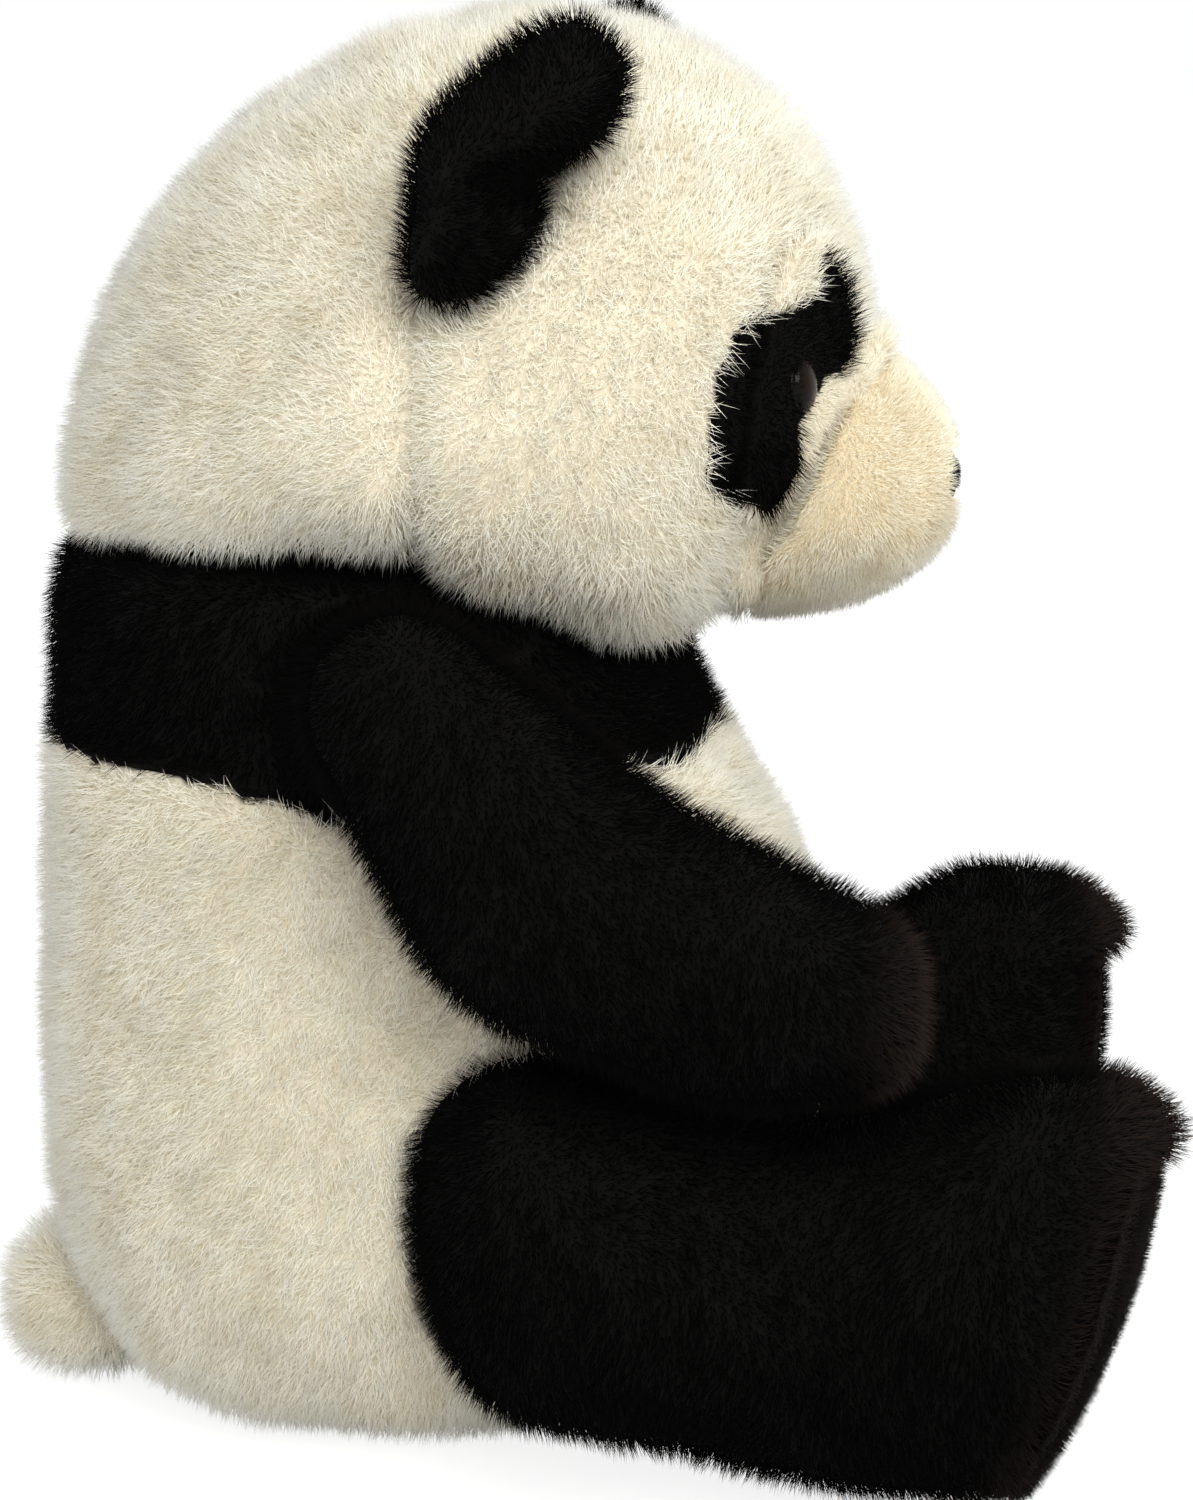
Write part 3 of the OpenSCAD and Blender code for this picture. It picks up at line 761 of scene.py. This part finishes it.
# Strands for each square millimetre, their length and radius in millimetres, and how they lean
CREAM = dict(slot="cream_plush", finish=cream_strand, density=1.2, length=7.6, radius=0.15,
             lean=0.3, tuft_lean=1.8, tuft_size=6, stray=0.5)
BLACK = dict(slot="black_plush", finish=black_strand, density=0.95, length=7.2, radius=0.155,
             lean=0.55, tuft_lean=1.3, tuft_size=6.5, stray=0.35)
BEIGE = dict(slot="beige_plush", finish=beige_strand, density=2.2, length=4.6, radius=0.11,
             lean=0.5, tuft_lean=1.2, tuft_size=5, stray=0.3)
SOLE = dict(slot="sole_plush", finish=sole_strand, density=1.6, length=4.2, radius=0.13,
            lean=0.5, tuft_lean=1.2, tuft_size=6, stray=0.35)
TAIL = dict(CREAM, length=9, lean=0.3, tuft_size=8)
NOSE = dict(slot="nose_velour", finish=black_strand, density=5, length=1.1, radius=0.07,
            lean=0.4, tuft_lean=0.6, tuft_size=3, stray=0.3)


# Making the covers

def torso_seams(p):
    """The level seam under the chest band, and the one down the middle of the back."""
    return 0.9 * near(p[:, 2], BAND_Z, 4) + 0.6 * near(p[:, 0], 0, 4) * (p[:, 1] > 60)


def head_seams(p):
    """The seam over the sides of the head, and the one down the middle of its back."""
    return 0.9 * near(p[:, 1], SIDE_SEAM_Y, 4) + 0.5 * near(p[:, 0], 0, 4) * (p[:, 1] > 40)


def no_seams(p):
    return np.zeros(len(p))


place_camera()
strand = strand_shape()
pile = pile_tree()

torso_nodes = ["lower_body_cover", "chest_band_cover", "body_filling", "neck_core"]
torso = cover("torso_form", torso_nodes, 5, 5)
stuffed(torso, torso_seams, 2.2)
shaped(torso, lambda p, n: lumpy(p, n, 11))
lower = keep_side(copy_of(torso, "lower_body_plush"), (0, 0, BAND_Z * mm), (0, 0, -1))
chest = keep_side(copy_of(torso, "chest_band_plush"), (0, 0, BAND_Z * mm), (0, 0, 1))
bpy.data.objects.remove(torso)

head = cover("head_form", ["head_back_cover", "face_cover", "head_filling"], 4.6, 5)
stuffed(head, head_seams)
shaped(head, head_shape)
back = keep_side(copy_of(head, "head_back_plush"), (0, SIDE_SEAM_Y * mm, 0), (0, 1, 0))
face = keep_side(copy_of(head, "face_plush"), (0, SIDE_SEAM_Y * mm, 0), (0, -1, 0))
bpy.data.objects.remove(head)

muzzle = cover("muzzle_plush", ["muzzle_cover", "muzzle_filling"], 3.4, 5)
stuffed(muzzle, lambda p: 0.5 * rise(p[:, 1], -58, -48), 0.8, 3.2)
shaped(muzzle, muzzle_shape)
tail = cover("tail_plush", ["tail_cover", "tail_filling"], 3.2, 6)
stuffed(tail, lambda p: rise(-p[:, 1], -128, -122), 1.5)
shaped(tail, tail_shape)
nose = cover("nose_cover", ["nose"], 1.1, 3)
shaped(nose, lambda p, n: p + [0, 0.6, 0])
limbs = {}
for side in ("left", "right"):
    ear = cover(f"ear_plush_{side}", [f"ear_front_{side}", f"ear_back_{side}"], 3, 5)
    stuffed(ear, no_seams, 1.5, 1.8)
    shaped(ear, ear_shape)
    arm = cover(f"arm_plush_{side}", [f"arm_cover_{side}", f"arm_filling_{side}"], 4, 5)
    stuffed(arm, lambda p: 0.4 * near(abs(p[:, 0]), ARM_X, 4))
    shaped(arm, arm_shape)
    leg = cover(f"leg_plush_{side}", [f"leg_cover_{side}", f"leg_filling_{side}"], 4.4, 5)
    stuffed(leg, no_seams)
    shaped(leg, leg_shape)
    sole = cover(f"sole_plush_{side}", [f"foot_sole_{side}"], 1.6, 4)
    shaped(sole, sole_shape)
    patch = cover(f"patch_plush_{side}", [f"eye_patch_{side}"], 1.8, 4)
    limbs[side] = dict(ear=ear, arm=arm, leg=leg, sole=sole, patch=patch)

covers = [lower, chest, back, face, muzzle, tail, nose]
covers += [o for s in limbs.values() for o in s.values()]
trees = {o.name: tree_of(o) for o in covers}
boxes = {o.name: (points_of(o.data).min(0), points_of(o.data).max(0)) for o in covers}


# Planting the pile

FIRST_SEED, SEED_STEP = 100, 7
# How far round an eye the pile is cut short, in millimetres, and by how much
EYE_TRIM, EYE_TRIM_SHARE = 12, 0.6


def fixed(*way):
    """Combs all of a cover one way."""
    return lambda p: np.tile(np.array(way, float), (len(p), 1))


def from_nose(p):
    """Combs away from the nose and a little down."""
    return unit(p - NOSE_AT) + np.array([0, 0, -0.3])


def everywhere(p):
    return np.ones(len(p))


def below_band(p):
    return (p[:, 2] < band_line(p)).astype(float)


def above_band(p):
    return 1 - below_band(p)


def on_patch(p):
    """The black patch round an eye."""
    u, v, out = from_eye(p)
    return (inside(PATCH, u, v) & (p[:, 1] < 0)).astype(float)


def on_muzzle(p):
    """The strip of the face that the muzzle's panel is drawn over."""
    return ((past_muzzle_edge(p) > 0) & (on_patch(p) == 0)).astype(float)


def off_patch(p):
    """What is left of the face for the cream pile."""
    return 1 - np.maximum(on_patch(p), on_muzzle(p))


def off_neck(p):
    """Leaves out the hollow that the shoulders turn in, which ends short of the nape."""
    x, y, z = p.T
    hollow = (np.hypot(x, y - NECK_Y) < NECK_RADIUS) & (z < NECK_TOP) & (y < NAPE_Y)
    return 1 - hollow.astype(float)


def off_seat(p):
    """Leaves out the root of the tail, which lies in the body."""
    return (p[:, 1] > TAIL_SEAT_Y).astype(float)


def under_head(p):
    """Leaves out the top of the chest, which lies in the head's hollow."""
    return (p[:, 2] < UNDER_HEAD_Z).astype(float)


def seam_comb(p):
    """Down, but turned up along the chest band's seam, where the tips stand out of it."""
    up = near(p[:, 2] - band_line(p), -2, 7)
    return np.stack([0 * up, 0 * up + 0.1, -1 + 1.9 * up], 1)


def toe_comb(p):
    """Down the leg, and ahead round the edge of the sole."""
    at_toe = rise(along_foot(p), 128, 150)[:, None]
    return np.array([0, -0.4, -1]) + at_toe * np.array([0, -1.2, 0.6])


def from_sole(p):
    """Combs from the middle of the sole outwards."""
    return p - p.mean(0)


def round_sole(p):
    """Leaves out the end of the leg that the sole is sewn over."""
    return ((sole_gap(p) < -2 - 5 * (p[:, 0] > 0)) | (p[:, 2] > TOE_Z)).astype(float)


def off_patch_and_neck(p):
    return off_neck(p) * off_patch(p)


def plush(skin, body, slot, backing, stands_for, fill, *piles, clear=1.5):
    """Plants each (name, kind, where it grows, comb) on a cover, and attaches the cover to its body
    in place of the parts that it stands for.
    """
    p = points_of(skin.data) / mm
    write_points(skin.data, "dyed", sum(grows(p) * (kind is BLACK) for _, kind, grows, _ in piles))
    in_open = in_the_open(skin, clear)
    u, v, out = from_eye(p)
    by_eye = near(np.hypot(u, v), 0, EYE_TRIM) * (abs(out) < EYE_DEPTH)
    reach = 1 - EYE_TRIM_SHARE * by_eye
    for k, (name, kind, grows, comb) in enumerate(piles):
        seed = FIRST_SEED + SEED_STEP * len(planted) + k
        dress(skin, comb(p), in_open * grows(p), reach, seed)
        grow_pile(skin, name, body, seed=seed, **kind)
    for key in ("comb", "fill", "reach"):
        skin.data.attributes.remove(skin.data.attributes[key])
    planted.append(skin.name)
    skin.data.materials.append(backing)
    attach(skin, body)
    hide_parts(*stands_for)


planted = []
plush(lower, "torso", "cream_plush", cream_back, ("lower_body_cover", "body_filling"), 0.8,
      ("lower_body_pile", CREAM, below_band, seam_comb),
      ("band_edge_pile", BLACK, above_band, seam_comb))
plush(chest, "torso", "black_plush", black_back, ("chest_band_cover", "neck_core"), 0.8,
      ("chest_band_pile", BLACK, under_head, seam_comb), clear=0.3)
plush(back, "head", "cream_plush", cream_back, ("head_back_cover", "head_filling"), 0.85,
      ("head_back_pile", CREAM, off_neck, from_nose))
plush(face, "head", "cream_plush", cream_back, ("face_cover",), 0.85,
      ("face_pile", CREAM, off_patch_and_neck, from_nose),
      ("brow_pile", BLACK, on_patch, from_nose),
      ("muzzle_edge_pile", BEIGE, on_muzzle, from_nose))
plush(muzzle, "head", "beige_plush", beige_back, ("muzzle_cover", "muzzle_filling"), 0.85,
      ("muzzle_pile", BEIGE, everywhere, from_nose))
plush(nose, "head", "nose_velour", black_back, ("nose",), 0.9,
      ("nose_pile", NOSE, everywhere, fixed(0, 0.1, -1)))
plush(tail, "tail", "cream_plush", cream_back, ("tail_cover", "tail_filling"), 0.7,
      ("tail_pile", TAIL, off_seat, fixed(0, 0.6, -0.2)), clear=None)
for side, s in limbs.items():
    plush(s["ear"], f"ear_{side}", "black_plush", black_back,
          (f"ear_front_{side}", f"ear_back_{side}"), 0.6,
          (f"ear_pile_{side}", BLACK, everywhere, fixed(0, 0, 1)))
    plush(s["arm"], f"arm_{side}", "black_plush", black_back,
          (f"arm_cover_{side}", f"arm_filling_{side}"), 0.7,
          (f"arm_pile_{side}", BLACK, everywhere, fixed(0, -0.4, -1)), clear=0.8)
    plush(s["leg"], f"leg_{side}", "black_plush", black_back,
          (f"leg_cover_{side}", f"leg_filling_{side}"), 0.75,
          (f"leg_pile_{side}", BLACK, round_sole, toe_comb), clear=0.4)
    plush(s["sole"], f"leg_{side}", "sole_plush", sole_back, (f"foot_sole_{side}",), 0.5,
          (f"sole_pile_{side}", SOLE, everywhere, from_sole), clear=0.2)
    plush(s["patch"], "head", "black_plush", cream_back, (f"eye_patch_{side}",), 0.5,
          (f"patch_pile_{side}", BLACK, on_patch, from_nose),
          (f"patch_edge_pile_{side}", CREAM, off_patch, from_nose),
          (f"patch_fold_pile_{side}", BEIGE, on_muzzle, from_nose))
bpy.data.objects.remove(strand)


# Eyes

# Sizes of a button eye in millimetres, and how deep it sits
EYE_RADIUS = 8
DOME_RADIUS = 7.5
DOME_FOOT, DOME_HEIGHT = 0.9, 4.4
EYE_SUNK = 4.2


def eye_finish():
    """Black gloss with a brown gleam half way to the rim."""
    finish, tree, shader = finish_tree("eye_gloss")
    depth = reading(tree, "depth")
    colours = ramp(tree, [(0, (0.004, 0.004, 0.004)), (0.55, (0.012, 0.007, 0.004)),
                          (1, (0.003, 0.003, 0.003))])
    tree.links.new(depth.outputs["Fac"], colours.inputs["Fac"])
    tree.links.new(colours.outputs["Color"], shader.inputs["Base Color"])
    shader.inputs["Roughness"].default_value = 0.14
    shader.inputs["Specular IOR Level"].default_value = 0.06
    shader.inputs["Coat Weight"].default_value = 0.02
    shader.inputs["Coat Roughness"].default_value = 0.04
    return finish


def domed_eye(side, finish):
    """A domed button eye with a rolled rim, turned to the front and sunk into its patch."""
    flip = 1 if side == "left" else -1
    turn, tilt = math.radians(6), math.radians(5)
    level = math.cos(tilt)
    out = Vector((flip * math.sin(turn) * level, -math.cos(turn) * level, math.sin(tilt)))
    at = Vector(EYE_AT * [flip, 1, 1]) * mm - out * EYE_SUNK * mm
    rim = [(0, -1.5), (7.2, -1.5), (7.8, -0.9), (EYE_RADIUS, -0.1), (7.8, 0.6),
           (DOME_RADIUS, DOME_FOOT)]
    steps = [math.radians(a) for a in range(8, 90, 8)]
    dome = [(DOME_RADIUS * math.cos(a), DOME_FOOT + DOME_HEIGHT * math.sin(a)) for a in steps]
    outline = rim + dome + [(0, DOME_FOOT + DOME_HEIGHT)]
    bm = bmesh.new()
    points = [bm.verts.new((r * mm, 0, h * mm)) for r, h in outline]
    edges = [bm.edges.new(pair) for pair in zip(points, points[1:])]
    bmesh.ops.spin(bm, geom=points + edges, cent=(0, 0, 0), axis=(0, 0, 1),
                   angle=2 * math.pi, steps=48)
    bmesh.ops.remove_doubles(bm, verts=bm.verts, dist=TOUCHING)
    bmesh.ops.recalc_face_normals(bm, faces=bm.faces)
    mesh = bpy.data.meshes.new(f"eye_dome_{side}")
    bm.to_mesh(mesh)
    bm.free()
    p = points_of(mesh)
    write_points(mesh, "depth", np.hypot(p[:, 0], p[:, 1]) / (EYE_RADIUS * mm))
    mesh.transform(out.to_track_quat("Z", "Y").to_matrix().to_4x4())
    mesh.transform(Matrix.Translation(at))
    mesh.shade_smooth()
    mesh.materials.append(finish)
    eye = new_object(f"eye_dome_{side}", mesh)
    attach(eye, "head")
    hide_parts(f"eye_{side}")


gloss = eye_finish()
for side in ("left", "right"):
    domed_eye(side, gloss)


def moulded_finish():
    """Slightly mottled white plastic of the washers that lock the eyes."""
    finish, tree, shader = finish_tree("washer_plastic")
    where = tree.nodes.new("ShaderNodeTexCoord")
    grain = tree.nodes.new("ShaderNodeTexNoise")
    grain.inputs["Scale"].default_value = 350
    tree.links.new(where.outputs["Object"], grain.inputs["Vector"])
    colours = ramp(tree, [(0.3, (0.66, 0.66, 0.63)), (0.7, (0.76, 0.76, 0.73))])
    tree.links.new(grain.outputs["Fac"], colours.inputs["Fac"])
    tree.links.new(colours.outputs["Color"], shader.inputs["Base Color"])
    shader.inputs["Roughness"].default_value = 0.45
    return finish


plastic = moulded_finish()
for side in ("left", "right"):
    washer = nodes[f"eye_washer_{side}"].data
    washer.materials.clear()
    washer.materials.append(plastic)


# Floor, background and light

def seen_straight(tree):
    """One for what the camera sees, also in a mirror or through glass."""
    path = tree.nodes.new("ShaderNodeLightPath")
    both = tree.nodes.new("ShaderNodeMath")
    both.operation = "MAXIMUM"
    tree.links.new(path.outputs["Is Glossy Ray"], both.inputs[0])
    tree.links.new(path.outputs["Is Transmission Ray"], both.inputs[1])
    seen = tree.nodes.new("ShaderNodeMath")
    seen.operation = "MAXIMUM"
    tree.links.new(path.outputs["Is Camera Ray"], seen.inputs[0])
    tree.links.new(both.outputs[0], seen.inputs[1])
    return seen.outputs[0]


def light_room():
    """Soft light all round, and three lamps aimed at the middle of the toy."""
    world = bpy.data.worlds.new("room")
    world.use_nodes = True
    tree = world.node_tree
    tree.nodes.clear()
    out = tree.nodes.new("ShaderNodeOutputWorld")
    soft = tree.nodes.new("ShaderNodeBackground")
    soft.inputs["Color"].default_value = (0.98, 0.99, 1, 1)
    soft.inputs["Strength"].default_value = 0.7
    white = tree.nodes.new("ShaderNodeBackground")
    white.inputs["Color"].default_value = (1, 1, 1, 1)
    mix = tree.nodes.new("ShaderNodeMixShader")
    tree.links.new(seen_straight(tree), mix.inputs["Fac"])
    tree.links.new(soft.outputs[0], mix.inputs[1])
    tree.links.new(white.outputs[0], mix.inputs[2])
    tree.links.new(mix.outputs[0], out.inputs["Surface"])
    scene.world = world
    for name, place, size, watts, colour in (
            ("key", (-1.8, -0.55, 1.35), 1.2, 41, (1, 0.985, 0.94)),
            ("rim", (1.3, -0.2, 1.3), 1, 9, (1, 0.98, 0.95)),
            ("fill", (-1.2, 1.1, 0.8), 1.2, 2, (0.9, 0.95, 1))):
        data = bpy.data.lights.new(name, "AREA")
        data.size = size
        data.energy = watts
        data.color = colour
        lamp = bpy.data.objects.new(name, data)
        lamp.location = place
        aim = Vector((0, 0, 0.17)) - Vector(place)
        lamp.rotation_euler = aim.to_track_quat("-Z", "Y").to_euler()
        scene.collection.objects.link(lamp)


def lay_floor():
    """A white floor that fades into the background and still takes a shadow."""
    mesh = bpy.data.meshes.new("floor")
    half = 12
    corners = [(-half, -half, 0), (half, -half, 0), (half, half, 0), (-half, half, 0)]
    mesh.from_pydata(corners, [], [(0, 1, 2, 3)])
    floor = new_object("floor", mesh)
    finish, tree, shader = finish_tree("floor_white")
    shader.inputs["Base Color"].default_value = (0.92, 0.92, 0.92, 1)
    shader.inputs["Roughness"].default_value = 0.9
    glow = tree.nodes.new("ShaderNodeEmission")
    glow.inputs["Strength"].default_value = 1.14
    share = tree.nodes.new("ShaderNodeMath")
    share.operation = "MULTIPLY"
    share.inputs[1].default_value = 0.75
    tree.links.new(seen_straight(tree), share.inputs[0])
    mix = tree.nodes.new("ShaderNodeMixShader")
    tree.links.new(share.outputs[0], mix.inputs["Fac"])
    tree.links.new(shader.outputs[0], mix.inputs[1])
    tree.links.new(glow.outputs[0], mix.inputs[2])
    tree.links.new(mix.outputs[0], tree.nodes["Material Output"].inputs["Surface"])
    mesh.materials.append(finish)


light_room()
lay_floor()
scene.view_settings.view_transform = "Standard"
